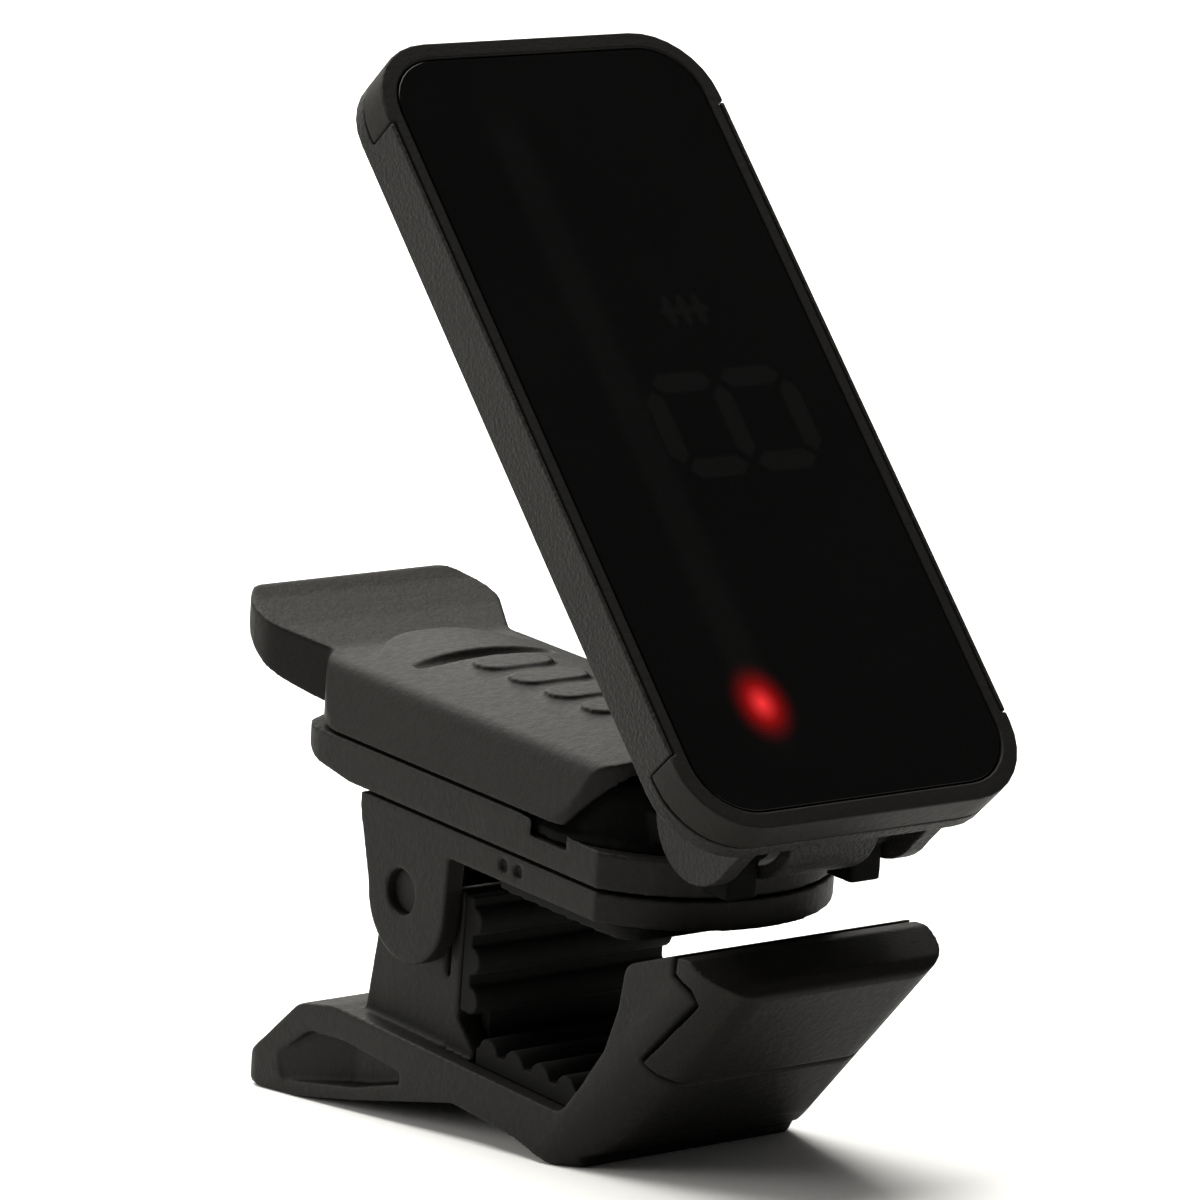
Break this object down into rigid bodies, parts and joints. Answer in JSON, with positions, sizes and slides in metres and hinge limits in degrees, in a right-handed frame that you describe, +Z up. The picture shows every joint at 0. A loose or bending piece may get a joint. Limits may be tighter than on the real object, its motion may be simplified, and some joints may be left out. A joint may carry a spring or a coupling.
{
  "type": "clip on tuner",
  "caption": "Clip-on tuner: a sprung two-lever clamp with ribbed rubber jaws, and a slim dark display that swivels and tilts on a hub above it.",
  "frame": {"origin": "middle of the whole object's box at table height, under the clip", "axes": "+Z up, -Y towards the display face and the clamp's mouth, +X across the jaws to the right of someone reading the display from behind"},
  "size_m": [0.027, 0.0576, 0.0716],
  "materials": {
    "shell_plastic": "fine satin, warm grey black",
    "textured_plastic": "spark-eroded texture",
    "dark_plastic": "smooth satin",
    "rubber": "matt ribbed",
    "window": "dark gloss window",
    "steel": "satin",
    "spring_steel": "bright wire",
    "brass": "satin",
    "board": "solder mask",
    "lens": "clear diffuser",
    "lamp": "lamp"
  },
  "bodies": {
    "lower_clip": {"lower_jaw": "shell_plastic", "lip_cap": "shell_plastic", "jaw_liner": "rubber", "hinge_pin": "shell_plastic", "pin_retainer": "steel", "torsion_spring": "spring_steel"},
    "upper_clip": {"upper_base": "shell_plastic", "upper_frame": "shell_plastic", "upper_cover": "shell_plastic", "upper_pad": "rubber", "cover_screw_left": "steel", "cover_screw_right": "steel"},
    "swivel": {"swivel_hub": "dark_plastic", "hub_washer": "steel", "hub_screw": "steel", "tilt_pin": "steel", "tilt_washer_left": "steel", "tilt_washer_right": "steel"},
    "display": {"front_bezel": "shell_plastic", "display_window": "window", "rear_shell": "textured_plastic", "battery_cover": "textured_plastic", "battery_cover_screw": "steel", "coin_cell": "steel", "battery_contact_negative": "brass", "battery_contact_positive": "brass", "circuit_board": "board", "controller_chip": "dark_plastic", "note_display": "lens", "meter_light_guide": "lens", "piezo_pickup": "brass", "power_switch": "steel", "meter_led_01": "lamp", "meter_led_02": "lamp", "meter_led_03": "lamp", "meter_led_04": "lamp", "meter_led_05": "lamp", "meter_led_06": "lamp", "meter_led_07": "lamp", "meter_led_08": "lamp", "meter_led_09": "lamp", "meter_led_10": "lamp", "meter_led_11": "lamp", "case_screw_1": "steel", "case_screw_2": "steel", "case_screw_3": "steel", "case_screw_4": "steel"},
    "button": {"power_button": "dark_plastic"}
  },
  "joints": [
    {"name": "jaw_hinge", "type": "hinge", "parent": "lower_clip", "child": "upper_clip", "pos_m": [0, 0.00913, 0.01579], "axis": [-1, 0, 0], "range_deg": [0, 30], "stiffness_Nm_per_rad": 0.12, "springref_deg": -51.57},
    {"name": "display_swivel", "type": "hinge", "parent": "upper_clip", "child": "swivel", "pos_m": [0, -0.00738, 0.02168], "axis": [0, -0.1305, 0.9914], "range_deg": [-25, 25]},
    {"name": "display_tilt", "type": "hinge", "parent": "swivel", "child": "display", "pos_m": [0, -0.0209, 0.02404], "axis": [1, 0, 0], "range_deg": [-20, 50]},
    {"name": "power_button_press", "type": "slide", "parent": "display", "child": "button", "axis": [0, -0.7986, 0.6018], "range_m": [0, 0.0005], "stiffness_N_per_m": 400, "springref_m": -0.0005}
  ]
}
